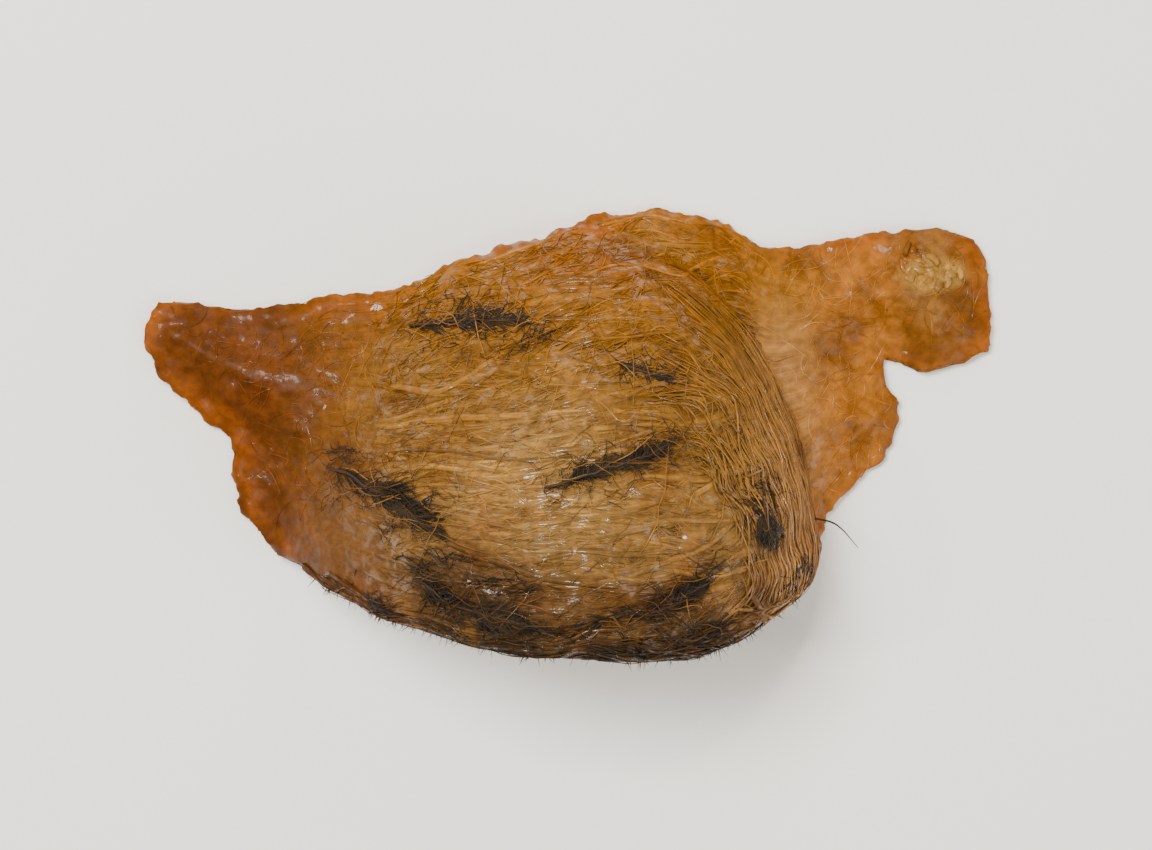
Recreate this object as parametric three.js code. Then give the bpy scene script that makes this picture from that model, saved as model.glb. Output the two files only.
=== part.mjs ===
// A raw edible bird's nest: the half cup of dried saliva strands that a swiftlet builds on a wall,
// shown as it lies after harvest, on the flat cut where it was taken off the wall.
// Millimetres, +Z up. X runs from foot to foot, the cup opens towards -Y, and Z = 0 is the wall cut.
import * as THREE from "three";
import { ParametricGeometry } from "three/addons/geometries/ParametricGeometry.js";
import { mergeGeometries, mergeVertices } from "three/addons/utils/BufferGeometryUtils.js";

// Cup: half an egg-shaped bowl, lying on the plane that cut it from the wall
const CUP_HEIGHT = 33; // wall to lip
const CUP_DEPTH = 42; // lip to the foot of the bowl, along Y
const CUP_CENTRE_X = 1;
const LIP_Y = -20.4; // where the lip stands furthest out
const HALF_WIDTH_LEFT = 33; // the left flank runs out in a long sweep
const HALF_WIDTH_RIGHT = 26.5; // the right flank drops off steeply
const FLANK_POWER_LEFT = 0.95; // how the bowl's section falls off, 0.5 being an ellipse
const FLANK_POWER_RIGHT = 0.55;
const FLANK_CHANGE = 16; // half the stretch over which one flank becomes the other
const LIP_DROOP = 1.6; // the lip lies this much lower than the back of the bowl
const LIP_DROOP_REACH = 13;

// Wall of the cup, from the outside to the hollow
const WALL_LIP = 4;
const WALL_FLANK = 5.5;
const WALL_BASE = 9;
const HOLLOW_SOFTENING = 0.9; // how far the hollow's section is from the outside's to a parabola
const HOLLOW_FILLET = 1.6; // round edge where the hollow meets the wall cut

// Feet: the thin plates of saliva that spread over the wall on both sides
const FOOT_THICKNESS = 4.2;
const EDGE_THICKNESS = 1.3;
const EDGE_REACH = 9; // from the edge to full thickness
const FILLET = 7; // how softly the cup runs into the feet

// Relief: layers of strands parallel to the lip, low lumps, a coarse net inside, torn edges
const LAYER_COUNT = 6.5;
const LAYER_RELIEF = 1.1;
const LUMP_RELIEF = 0.5;
const NET_RELIEF = 0.7;
const LIP_TEAR = 0.2;
const BASE_TEAR = 0.25;
const FOOT_TEAR = 0.45;
const TEAR_FADE = 40; // power that keeps a tear close to its edge
const LIP_ROUNDING = 1.4;

// Outline on the wall, from above, as four edges that share their corners
const LIP_LEFT = [-31.2, -13.1];
const LIP_RIGHT = [25.2, -15.8];
const BASE_LEFT = [-43.2, 13.6];
const BASE_RIGHT = [40.4, 21];
const lipEdge = spline([LIP_LEFT, [-22.1, -16.8], [-12, -19], [4.2, -20.4], [15, -19.6], LIP_RIGHT]);
const baseEdge = spline([BASE_LEFT, [-32, 12.4], [-19, 14.4], [-7, 18.4], [5, 22.4],
  [14.5, 21.6], [23, 19.2], [32, 20], BASE_RIGHT]);
const leftEdge = spline([LIP_LEFT, [-34.4, -8.4], [-34.8, -2.6], [-40, 3.2], [-44.6, 9], BASE_LEFT]);
const rightEdge = spline([LIP_RIGHT, [27.4, -10.6], [31, -6.4], [33.9, -2.4], [36.1, 1.5], [33.9, 4.2],
  [33.1, 8], [37.2, 6], [42.2, 5.8], [45, 9.4], [45.2, 14.6], [43.6, 19], BASE_RIGHT]);

// The right foot ends in a lobe over a notch. Its rows have to rise over the notch's inner end.
const NOTCH_X = 33.1;
const NOTCH_REACH = 3;
const LOBE_RISE = 3.6;
const LOBE_START = 0.5; // the lobe's first row, as a share of the way from lip to base
const LOBE_SPAN = 0.32; // share of the way that its rising rows take

// Mesh steps over the cup, from foot to foot, from lip to base and round the thickness of the edge
const COLUMNS = 62;
const ROWS = 26;
const EDGE_STEPS = 4;
const ROW_SAMPLES = 150; // points along a row before it is spaced out evenly
const END_CROWDING = 0.45; // rows stand closer together near the lip and the base

// Feathers caught in the saliva: where each lies from quill to tip, seen from above, and its width
const FEATHER_GAP = 0.6;
const FEATHER_THICKNESS = 0.5;
const FEATHER_COLUMNS = 12;
const FEATHER_ROWS = 2;
const FEATHER_EDGE_STEPS = 1;
const FEATHER_BARBS = 4; // notches along a vane
const OUTER_FEATHERS = [
  { name: "feather_left", quill: [-24, -3.8], tip: [-13.2, -9], width: 5.2 },
  { name: "feather_middle", quill: [-3.4, -3.6], tip: [8.8, 0.4], width: 3.2 },
  { name: "feather_lip_right", quill: [6, -16.2], tip: [12.4, -13.6], width: 3.8 },
  { name: "feather_back_left", quill: [-15.8, 10.4], tip: [-4.6, 12], width: 3.4 },
  { name: "feather_lip_left", quill: [-15.2, -13.4], tip: [-4.4, -17.2], width: 3.4 },
  { name: "feather_right_flank", quill: [18, -4.2], tip: [18.8, -10], width: 2.2 },
  { name: "feather_back_right", quill: [4.2, 7.8], tip: [10.4, 6.4], width: 2 },
];
const INNER_FEATHERS = [
  { name: "feather_hollow_left", quill: [-15, -6], tip: [-6, -12], width: 4.6 },
  { name: "feather_hollow_middle", quill: [-4, -2], tip: [6, -8], width: 5 },
  { name: "feather_hollow_right", quill: [8, -4], tip: [14, -12], width: 4 },
];

const SALIVA = new THREE.MeshStandardMaterial({ color: 0xa5692c, roughness: 0.45, metalness: 0 });
const FEATHER = new THREE.MeshStandardMaterial({ color: 0x2e271c, roughness: 0.7, metalness: 0 });

function spline(points) {
  return new THREE.SplineCurve(points.map(([x, y]) => new THREE.Vector2(x, y)));
}

const { lerp, clamp, smoothstep } = THREE.MathUtils;

// The larger of two heights, with a soft fillet where they meet.
function softMax(a, b, fillet) {
  const overlap = Math.max(fillet - Math.abs(a - b), 0) / fillet;
  return Math.max(a, b) + (overlap * overlap * fillet) / 4;
}

// A point of the outline's inside, u from left to right and v from lip to base: a Coons patch, with
// the torn teeth of each edge dying away within a short reach.
function planPoint(u, v) {
  const lip = lipEdge.getPoint(u);
  const base = baseEdge.getPoint(u);
  const left = leftEdge.getPoint(v);
  const right = rightEdge.getPoint(v);
  const blend = (axis) => {
    const across = lerp(lip[axis], base[axis], v) + lerp(left[axis], right[axis], u);
    const lipCorner = lerp(lipEdge.points[0][axis], lipEdge.points.at(-1)[axis], u);
    const baseCorner = lerp(baseEdge.points[0][axis], baseEdge.points.at(-1)[axis], u);
    return across - lerp(lipCorner, baseCorner, v);
  };
  const place = new THREE.Vector2(blend("x"), blend("y"));
  place.y += lobeRise(place.x, v, right.x);
  return place
    .add(tornTooth(lipEdge, u, LIP_TEAR * (1 - v) ** TEAR_FADE))
    .add(tornTooth(baseEdge, u, BASE_TEAR * v ** TEAR_FADE))
    .add(tornTooth(leftEdge, v, FOOT_TEAR * (1 - u) ** TEAR_FADE))
    .add(tornTooth(rightEdge, v, FOOT_TEAR * u ** TEAR_FADE));
}

// How far a row that ends in the lobe rises where it passes the notch.
function lobeRise(x, v, rowEnd) {
  const share = clamp((v - LOBE_START) / LOBE_SPAN, 0, 1);
  const nearNotch = Math.exp(-(((x - NOTCH_X) / NOTCH_REACH) ** 2));
  return LOBE_RISE * Math.sqrt(Math.sin(Math.PI * share)) * nearNotch * smoothstep(rowEnd - x, 0, NOTCH_REACH);
}

// How far an edge is torn in or out at one place. The corners stay put.
function tornTooth(edge, t, size) {
  const teeth = Math.sin(23 * t) + 0.8 * Math.sin(37 * t + 2) + 0.7 * Math.sin(53 * t + 4);
  const along = edge.getTangent(t);
  return new THREE.Vector2(-along.y, along.x).multiplyScalar(size * teeth * Math.sin(Math.PI * t));
}

// Points along the feet and the base, for the distance to the outline's thin edge
const EDGE_SAMPLES = 90;
const thinEdge = [leftEdge, baseEdge, rightEdge].flatMap((edge) => edge.getPoints(EDGE_SAMPLES));

function edgeDistance(x, y) {
  return Math.sqrt(Math.min(...thinEdge.map((p) => (p.x - x) ** 2 + (p.y - y) ** 2)));
}

// Height of a bowl over the wall. The outside of the cup has no insets, and the hollow has its walls'.
const OUTSIDE = { lip: 0, flank: 0, base: 0, softening: 0 };
const HOLLOW = { lip: WALL_LIP, flank: WALL_FLANK, base: WALL_BASE, softening: HOLLOW_SOFTENING };

function bowlHeight(x, y, inset) {
  const across = x - CUP_CENTRE_X;
  const half = (across < 0 ? HALF_WIDTH_LEFT : HALF_WIDTH_RIGHT) - inset.flank;
  const back = Math.max(y - LIP_Y, 0);
  const inside = 1 - (across / half) ** 2 - (back / (CUP_DEPTH - inset.base)) ** 2;
  const side = smoothstep(across, -FLANK_CHANGE, FLANK_CHANGE);
  const power = lerp(lerp(FLANK_POWER_LEFT, FLANK_POWER_RIGHT, side), 1, inset.softening);
  const droop = LIP_DROOP * (1 - smoothstep(back, 0, LIP_DROOP_REACH));
  return (CUP_HEIGHT - inset.lip - droop) * Math.max(inside, 0) ** power;
}

// Share of the way from the lip to the base, along which the strand layers follow each other.
function layerPlace(x, y) {
  const lip = LIP_Y + 0.008 * (x - 4) ** 2;
  const base = LIP_Y + CUP_DEPTH;
  return (y - lip) / (base - lip);
}

// Each layer of strands rises slowly and ends in a step, and wanders a little on its way.
function layerRelief(x, y) {
  const wander = 0.3 * Math.sin(0.17 * x + 1) + 0.22 * Math.sin(0.41 * x + 0.09 * y);
  const place = LAYER_COUNT * layerPlace(x, y) + wander;
  const share = place - Math.floor(place);
  const step = share < 0.72 ? share / 0.72 : (1 - share) / 0.28;
  return LAYER_RELIEF * (step - 0.5);
}

function lumpRelief(x, y) {
  const broad = Math.sin(0.42 * x + 1.3) * Math.sin(0.37 * y - 0.4);
  const small = 0.6 * Math.sin(0.93 * x - 0.61 * y + 2) * Math.sin(0.55 * x + 0.97 * y);
  return LUMP_RELIEF * (broad + small);
}

function outerHeight(x, y) {
  const foot = lerp(EDGE_THICKNESS, FOOT_THICKNESS, smoothstep(edgeDistance(x, y), 0, EDGE_REACH));
  const body = softMax(bowlHeight(x, y, OUTSIDE), foot, Math.min(FILLET, 2 * foot));
  const relief = layerRelief(x, y) + lumpRelief(x, y);
  return body + relief * smoothstep(body, EDGE_THICKNESS, 3 * FOOT_THICKNESS);
}

// Crossing cords of the coarse net that lines the hollow.
function netRelief(x, y) {
  const cords = Math.abs(Math.sin(0.5 * x + 0.33 * y)) + Math.abs(Math.sin(0.36 * x - 0.52 * y + 1));
  return NET_RELIEF * (cords - 1);
}

// The hollow is averaged over a small ring, which rounds its edge at the wall cut.
const RING = Array.from({ length: 8 }, (_, i) => {
  const turn = (i * Math.PI) / 4;
  return [HOLLOW_FILLET * Math.cos(turn), HOLLOW_FILLET * Math.sin(turn)];
});

function hollowHeight(x, y) {
  const around = RING.map(([dx, dy]) => bowlHeight(x + dx, y + dy, HOLLOW));
  const hollow = around.reduce((sum, height) => sum + height, 0) / RING.length;
  return hollow + netRelief(x, y) * smoothstep(hollow, 0, 2 * WALL_LIP);
}

// A closed solid between an upper and a lower sheet over the same steps. The band round its edge
// stands out by bulge half way up, so that the edge is round.
function sheetSolid({ upper, lower, columns, rows, edgeSteps, bulge }) {
  const above = new ParametricGeometry((u, v, point) => point.copy(upper(u, v)), columns, rows);
  const below = new ParametricGeometry((u, v, point) => point.copy(lower(1 - u, v)), columns, rows);
  const around = 2 * (columns + rows);
  const edgePlace = (turn) => {
    const step = Math.round(turn * around) % around;
    if (step < columns) return [step / columns, 0];
    if (step < columns + rows) return [1, (step - columns) / rows];
    if (step < 2 * columns + rows) return [1 - (step - columns - rows) / columns, 1];
    return [0, 1 - (step - 2 * columns - rows) / rows];
  };
  const band = new ParametricGeometry((turn, rise, point) => {
    const [u, v] = edgePlace(turn);
    const inner = upper(clamp(u, 1 / columns, 1 - 1 / columns), clamp(v, 1 / rows, 1 - 1 / rows));
    point.lerpVectors(lower(u, v), upper(u, v), rise);
    const out = new THREE.Vector3(point.x - inner.x, point.y - inner.y, 0).normalize();
    point.addScaledVector(out, bulge * 4 * rise * (1 - rise));
  }, around, edgeSteps);
  const sheets = [above, below, band];
  sheets.forEach((sheet) => {
    sheet.deleteAttribute("normal");
    sheet.deleteAttribute("uv");
  });
  const solid = mergeVertices(mergeGeometries(sheets), 1e-3);
  solid.computeVertexNormals();
  return solid;
}

function namedMesh(name, geometry, material) {
  const mesh = new THREE.Mesh(geometry, material);
  mesh.name = name;
  return mesh;
}

// One sheet of the cup, as a point for each step. A row's points are spaced evenly along its length,
// so that a steep flank has as many as a flat foot.
function evenSheet(height) {
  const rowPlace = (t) => lerp(t, smoothstep(t, 0, 1), END_CROWDING);
  const row = (v) => {
    const points = Array.from({ length: ROW_SAMPLES + 1 }, (_, i) => {
      const { x, y } = planPoint(i / ROW_SAMPLES, v);
      return new THREE.Vector3(x, y, height(x, y, v));
    });
    const spaced = new THREE.CatmullRomCurve3(points).getSpacedPoints(COLUMNS);
    return spaced.map((point) => point.setZ(Math.max(point.z, 0)));
  };
  const rows = Array.from({ length: ROWS + 1 }, (_, j) => row(rowPlace(j / ROWS)));
  return (u, v) => rows[Math.round(v * ROWS)][Math.round(u * COLUMNS)];
}

// The outer sheet dips at the lip, where the cup is thick enough to have a round edge.
function roundedOuterHeight(x, y, v) {
  const height = outerHeight(x, y);
  const dip = clamp(1 - (v * CUP_DEPTH) / (2 * LIP_ROUNDING), 0, 1) ** 2;
  return height - LIP_ROUNDING * dip * smoothstep(height, EDGE_THICKNESS, 2 * FOOT_THICKNESS);
}

function makeCup() {
  const shape = {
    upper: evenSheet(roundedOuterHeight),
    lower: evenSheet(hollowHeight),
    columns: COLUMNS,
    rows: ROWS,
    edgeSteps: EDGE_STEPS,
    bulge: LIP_ROUNDING / 2,
  };
  return namedMesh("nest_cup", sheetSolid(shape), SALIVA);
}

// A point off a height field, moved along the field's normal.
function offSurface(height, x, y, distance) {
  const step = 0.4;
  const slopeX = (height(x + step, y) - height(x - step, y)) / (2 * step);
  const slopeY = (height(x, y + step) - height(x, y - step)) / (2 * step);
  const normal = new THREE.Vector3(-slopeX, -slopeY, 1).normalize();
  return new THREE.Vector3(x, y, height(x, y)).addScaledVector(normal, distance);
}

// A feather: a thin vane with a notched outline that hugs the wall of the cup. The side is +1 on the
// outside of the cup and -1 under the wall, in the hollow.
function makeFeather({ name, quill, tip, width }, height, side) {
  const from = new THREE.Vector2(...quill);
  const along = new THREE.Vector2(...tip).sub(from);
  const across = new THREE.Vector2(-along.y, along.x).normalize();
  const place = (u, v) => {
    const outline = 0.12 + 0.88 * Math.sin(Math.PI * Math.min(0.08 + 0.9 * u, 1)) ** 0.7;
    const notch = 1 - 0.28 * Math.abs(Math.sin(FEATHER_BARBS * Math.PI * u));
    const half = (width / 2) * outline * notch;
    return from.clone().addScaledVector(along, u).addScaledVector(across, (2 * v - 1) * half);
  };
  const sheet = (distance) => (u, v) => {
    const { x, y } = place(u, v);
    return offSurface(height, x, y, side * distance(v));
  };
  const near = sheet(() => FEATHER_GAP);
  const far = sheet((v) => FEATHER_GAP + FEATHER_THICKNESS * (0.4 + 0.6 * Math.sin(Math.PI * v)));
  const shape = {
    upper: side > 0 ? far : near,
    lower: side > 0 ? near : far,
    columns: FEATHER_COLUMNS,
    rows: FEATHER_ROWS,
    edgeSteps: FEATHER_EDGE_STEPS,
    bulge: 0,
  };
  return namedMesh(name, sheetSolid(shape), FEATHER);
}

const nest = new THREE.Group();
nest.name = "edible_birds_nest";
nest.add(makeCup());
OUTER_FEATHERS.forEach((feather) => nest.add(makeFeather(feather, outerHeight, 1)));
INNER_FEATHERS.forEach((feather) => nest.add(makeFeather(feather, hollowHeight, -1)));

// The origin is the middle of the wall cut, under the centre of the whole nest.
const box = new THREE.Box3().setFromObject(nest);
nest.position.set(-(box.min.x + box.max.x) / 2, -(box.min.y + box.max.y) / 2, 0);

export default nest;
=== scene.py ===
# %% [markdown]
# # A raw edible bird's nest
# A swiftlet builds this nest on a wall, out of its own saliva. Strand after strand runs from one foot
# of the nest to the other and dries to a hard amber half cup, with small feathers caught in it. After
# harvest it lies dome up on the flat cut where it came off the wall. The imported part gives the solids
# of the cup and of its feathers. This lesson dresses them: it measures the cup, gives it a fibrous
# skin, lays strands over it, and turns the plain feather plates into barbs on a shaft.

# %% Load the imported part
import math

import bpy
import numpy as np
from mathutils import Matrix, Vector
from mathutils.bvhtree import BVHTree
from mathutils.kdtree import KDTree


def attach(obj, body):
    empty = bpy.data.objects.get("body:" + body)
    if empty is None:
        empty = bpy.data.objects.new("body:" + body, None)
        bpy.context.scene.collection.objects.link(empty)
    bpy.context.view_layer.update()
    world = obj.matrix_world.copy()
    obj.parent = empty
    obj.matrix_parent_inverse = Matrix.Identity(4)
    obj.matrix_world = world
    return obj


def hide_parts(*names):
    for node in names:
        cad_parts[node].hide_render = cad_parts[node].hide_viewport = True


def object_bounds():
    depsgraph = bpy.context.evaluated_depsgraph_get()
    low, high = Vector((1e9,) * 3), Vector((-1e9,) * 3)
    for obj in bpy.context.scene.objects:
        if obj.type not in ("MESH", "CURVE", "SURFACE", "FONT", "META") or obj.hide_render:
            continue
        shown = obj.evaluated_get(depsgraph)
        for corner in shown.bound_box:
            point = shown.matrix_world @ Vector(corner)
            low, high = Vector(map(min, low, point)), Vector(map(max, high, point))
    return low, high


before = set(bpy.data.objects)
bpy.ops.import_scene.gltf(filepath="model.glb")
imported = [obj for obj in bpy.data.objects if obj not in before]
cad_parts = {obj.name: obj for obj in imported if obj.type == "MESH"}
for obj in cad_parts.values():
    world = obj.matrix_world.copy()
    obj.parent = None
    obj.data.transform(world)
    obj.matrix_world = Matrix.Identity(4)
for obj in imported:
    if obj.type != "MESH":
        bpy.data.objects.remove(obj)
cad_low, cad_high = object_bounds()
MM = 0.001
print("nodes:", sorted(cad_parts))
print("size in mm:", [round(1000 * side, 1) for side in cad_high - cad_low])

# %% [markdown]
# The nest is seen almost straight from above, with the lip of the cup at the bottom of the picture. A
# camera so steep has no useful horizon, so its three axes are written out as a matrix and +Y is kept
# upright in the picture. A long lens keeps the feet and the dome in proportion.

# %% Camera
AIM = Vector((0, 0, 10 * MM))
CAMERA_DISTANCE = 0.42
view_from = Vector((-0.064, 0.098, 0.993)).normalized()
picture_right = Vector((0, 1, 0)).cross(view_from).normalized()
picture_up = view_from.cross(picture_right)
camera = bpy.data.objects.new("camera", bpy.data.cameras.new("camera"))
bpy.context.scene.collection.objects.link(camera)
camera.data.lens = 125
camera.matrix_world = Matrix((picture_right, picture_up, view_from)).transposed().to_4x4()
camera.location = AIM + CAMERA_DISTANCE * view_from
bpy.context.scene.camera = camera
print("camera at", [round(place, 3) for place in camera.location])

# %% [markdown]
# The nest lies on a plain pale table under soft light. One broad lamp hangs above and a little to the
# left, a second fills the right side, and a pale surround opens the shadows. A low lamp behind the
# base makes the thin feet glow, and three small ones draw glints on the strands. The table is
# see-through from below, and for light on its way to the wall cut that lies on it, so that the cut can
# be looked at as well.

# %% Table and lights
TABLE_HALF = 2.0
TABLE_DROP = 0.1 * MM
TOUCHING = 0.3 * MM


def soft_lamp(name, place, size, power, colour):
    lamp = bpy.data.lights.new(name, "AREA")
    lamp.size = size
    lamp.energy = power
    lamp.color = colour
    lamp_object = bpy.data.objects.new(name, lamp)
    lamp_object.location = place
    lamp_object.rotation_euler = (AIM - Vector(place)).to_track_quat("-Z", "Y").to_euler()
    bpy.context.scene.collection.objects.link(lamp_object)


def new_material(name):
    material = bpy.data.materials.new(name)
    material.use_nodes = True
    material.node_tree.nodes.clear()
    return material, material.node_tree


def add(tree, kind, inputs=None, **settings):
    """A shader node with its settings; each input is a value or a socket to link from."""
    made = tree.nodes.new("ShaderNode" + kind)
    for name, value in settings.items():
        setattr(made, name, value)
    for name, value in (inputs or {}).items():
        if isinstance(value, bpy.types.NodeSocket):
            tree.links.new(value, made.inputs[name])
        else:
            made.inputs[name].default_value = value
    return made


def calc(tree, operation, first, second, third=0.0):
    return add(tree, "Math", {0: first, 1: second, 2: third}, operation=operation).outputs[0]


soft_lamp("key_lamp", (-0.22, 0.20, 0.55), 0.22, 6.2, (1.0, 0.97, 0.93))
soft_lamp("fill_lamp", (0.45, -0.25, 0.35), 0.5, 3.0, (1.0, 0.98, 0.96))
soft_lamp("back_lamp", (0.10, 0.45, 0.16), 0.25, 0.8, (1.0, 0.86, 0.68))
for number, place in enumerate([(-0.05, 0.24, 0.50), (-0.34, 0.02, 0.40), (0.12, -0.22, 0.50)]):
    soft_lamp(f"sparkle_lamp_{number}", place, 0.03, 0.6, (1.0, 0.88, 0.66))
world = bpy.data.worlds.new("surround")
world.use_nodes = True
world.node_tree.nodes["Background"].inputs["Color"].default_value = (1.0, 0.97, 0.93, 1)
world.node_tree.nodes["Background"].inputs["Strength"].default_value = 0.26
bpy.context.scene.world = world

table_mesh = bpy.data.meshes.new("table")
corners = [(x * TABLE_HALF, y * TABLE_HALF, 0) for x, y in ((-1, -1), (1, -1), (1, 1), (-1, 1))]
table_mesh.from_pydata(corners, [], [(0, 1, 2, 3)])
table = bpy.data.objects.new("table", table_mesh)
table.location.z = -TABLE_DROP
bpy.context.scene.collection.objects.link(table)
table_paint, tree = new_material("table_paint")
paint = add(tree, "BsdfPrincipled", {"Base Color": (0.88, 0.87, 0.85, 1), "Roughness": 0.7})
clear = add(tree, "BsdfTransparent")
touching = calc(tree, "LESS_THAN", add(tree, "LightPath").outputs["Ray Length"], TOUCHING)
let_through = calc(tree, "MAXIMUM", touching, add(tree, "NewGeometry").outputs["Backfacing"])
surface = add(tree, "MixShader", {0: let_through, 1: paint.outputs["BSDF"], 2: clear.outputs["BSDF"]})
tree.links.new(surface.outputs["Shader"], add(tree, "OutputMaterial").inputs["Surface"])
table_mesh.materials.append(table_paint)
print("lamps:", [light.name for light in bpy.data.lights])

# %% [markdown]
# The cup is one grown thing, so its skin is one mesh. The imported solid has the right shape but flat
# facets. A voxel remesh turns it into a fine even grid that fibres can be pressed into, and a short
# smoothing takes the last facets away. Sculpting on a multires modifier would do it as well, but it
# needs a quad cage, and the remesh takes any closed solid.

# %% Fine skin for the cup
VOXEL = 0.37 * MM
skin = bpy.data.objects.new("cup_wall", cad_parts["nest_cup"].data.copy())
bpy.context.scene.collection.objects.link(skin)
remesh = skin.modifiers.new("remesh", "REMESH")
remesh.mode = "VOXEL"
remesh.voxel_size = VOXEL
smooth = skin.modifiers.new("smooth", "SMOOTH")
smooth.factor = 0.5
smooth.iterations = 5
skin.data = bpy.data.meshes.new_from_object(skin.evaluated_get(bpy.context.evaluated_depsgraph_get()))
skin.modifiers.clear()


def mesh_points(mesh, what="co"):
    values = np.empty(3 * len(mesh.vertices), np.float32)
    if what == "co":
        mesh.vertices.foreach_get("co", values)
    else:
        mesh.vertex_normals.foreach_get("vector", values)
    return values.reshape(-1, 3).astype(float)


skin_points = mesh_points(skin.data)
skin_normals = mesh_points(skin.data, "normal")
skin_tree = BVHTree.FromObject(skin, bpy.context.evaluated_depsgraph_get())
print("skin:", len(skin.data.vertices), "points,", 2 * len(skin.data.polygons), "triangles")

# %% [markdown]
# The bird walks its strands from foot to foot, so every strand on the dome follows a line between the
# lip and the base of the cup. Those lines are measured on the skin. From above, each place across the
# nest has a lip edge and a base edge; a row is a fixed share of the way between them, dropped onto
# the skin by rays. The rows then get even steps along their length, so that a steep flank has as many
# as a flat foot.

# %% Strand rows over the dome
ROWS = 150
STEPS = 320
ROW_SHARES = (0.02, 0.985)
TIP_INSET = 0.8 * MM
RAY_HEIGHT = 0.1
UP = Vector((0, 0, 1))


def edges_from_above(points, bins=180):
    places = np.linspace(cad_low.x + TIP_INSET, cad_high.x - TIP_INSET, bins)
    reach = places[1] - places[0]
    near = [points[np.abs(points[:, 0] - place) < reach, 1] for place in places]
    soften = np.hanning(9) / np.hanning(9).sum()
    edges = []
    for pick in (np.min, np.max):
        edge = np.array([pick(values) for values in near])
        edges.append(np.convolve(np.pad(edge, 4, mode="edge"), soften, mode="valid"))
    return places, edges[0], edges[1]


def even_steps(line, count):
    lengths = np.concatenate([[0], np.cumsum(np.linalg.norm(np.diff(line, axis=0), axis=1))])
    goals = np.linspace(0, lengths[-1], count)
    return np.stack([np.interp(goals, lengths, line[:, axis]) for axis in range(3)], axis=1)


def land(tree, start, ray, near):
    """The point and normal where a ray meets a skin or, where it misses, of the place nearest to near."""
    hit = tree.ray_cast(start, ray)
    return hit[:2] if hit[0] else tree.find_nearest(near)[:2]


def dome_point(x, y):
    return land(skin_tree, Vector((x, y, RAY_HEIGHT)), -UP, Vector((x, y, MM)))[0]


places, lip_edge, base_edge = edges_from_above(skin_points)
rows = []
for share in np.linspace(*ROW_SHARES, ROWS):
    line = [dome_point(x, y) for x, y in zip(places, lip_edge + share * (base_edge - lip_edge))]
    rows.append(even_steps(np.array(line), STEPS))
rows = np.array(rows)


def unit(vectors):
    return vectors / np.maximum(np.linalg.norm(vectors, axis=-1, keepdims=True), 1e-12)


def row_normals(grid):
    normals = unit(np.cross(np.gradient(grid, axis=1), np.gradient(grid, axis=0)))
    for axis in (0, 1):
        normals = unit(normals + np.roll(normals, 1, axis) + np.roll(normals, -1, axis))
    return normals


dome_normals = row_normals(rows)
ROW_LENGTH = float(np.linalg.norm(np.diff(rows, axis=1), axis=2).sum(1).mean())
ROW_SPREAD = float(np.linalg.norm(np.diff(rows, axis=0), axis=2).sum(0).mean())
print("rows are", round(ROW_LENGTH / MM), "mm long and spread over", round(ROW_SPREAD / MM), "mm")

# %% [markdown]
# Each point of the skin now gets its place along and across the strands, in millimetres. The rows
# have no points in the hollow, so there the plan position does the same job. Two masks go with it: the
# hollow and the wall cut.

# %% Strand coordinates and masks
def smooth_between(value, low, high):
    share = np.clip((value - low) / (high - low), 0, 1)
    return share * share * (3 - 2 * share)


def search_tree(points):
    tree = KDTree(len(points))
    for index, point in enumerate(points):
        tree.insert(point, index)
    tree.balance()
    return tree


row_index = search_tree(rows.reshape(-1, 3))
nearest = np.array([row_index.find(point)[1:] for point in skin_points])
row, step = np.divmod(nearest[:, 0].astype(int), STEPS)
offset = skin_points - rows[row, step]
along_step = np.gradient(rows, axis=1)[row, step]
across_step = np.gradient(rows, axis=0)[row, step]


def steps_off(offset, one_step):
    """How many steps an offset is, where rows that meet in a point count as no step at all."""
    return np.clip((offset * one_step).sum(1) / np.maximum((one_step ** 2).sum(1), 1e-12), -1, 1)


step = step + steps_off(offset, along_step)
row = row + steps_off(offset, across_step)
along = step / STEPS * ROW_LENGTH / MM
across = row / ROWS * ROW_SPREAD / MM

wall_cut = smooth_between(-skin_normals[:, 2], 0.6, 0.95) * (skin_points[:, 2] < 0.6 * MM)
hollow = smooth_between(-skin_normals[:, 2] - 0.3 * skin_normals[:, 1], -0.05, 0.3)
hollow = hollow * smooth_between(skin_points[:, 2], 0.2 * MM, 1.5 * MM)
along = np.where(hollow + wall_cut > 0.5, skin_points[:, 0] / MM, along)
across = np.where(hollow + wall_cut > 0.5, 1.3 * skin_points[:, 1] / MM, across)
print("share of hollow:", round(float(hollow.mean()), 2), "of cut:", round(float(wall_cut.mean()), 2))

# %% [markdown]
# Dried strands lie side by side in flat bundles. On the skin this is a relief of long thin ridges: a
# value noise that is stretched along the strands and folded, so that its crests are sharp. Three
# sizes lie over each other at slightly different angles, as the bird's passes do. All of it is real
# geometry, because it shows in the outline and in the mesh.

# %% Fibre relief
LATTICE = (251, 241)


def value_noise(first, second, seed):
    lattice = np.random.default_rng(seed).random(LATTICE)
    i, j = np.floor(first).astype(int), np.floor(second).astype(int)
    a, b = first - i, second - j
    a, b = a * a * (3 - 2 * a), b * b * (3 - 2 * b)

    def corner(di, dj):
        return lattice[(i + di) % LATTICE[0], (j + dj) % LATTICE[1]]

    low = corner(0, 0) * (1 - a) + corner(1, 0) * a
    high = corner(0, 1) * (1 - a) + corner(1, 1) * a
    return low * (1 - b) + high * b


def folded(noise):
    """A noise of 0 to 1 with its middle turned into sharp crests."""
    return 1 - np.abs(2 * noise - 1)


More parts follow.
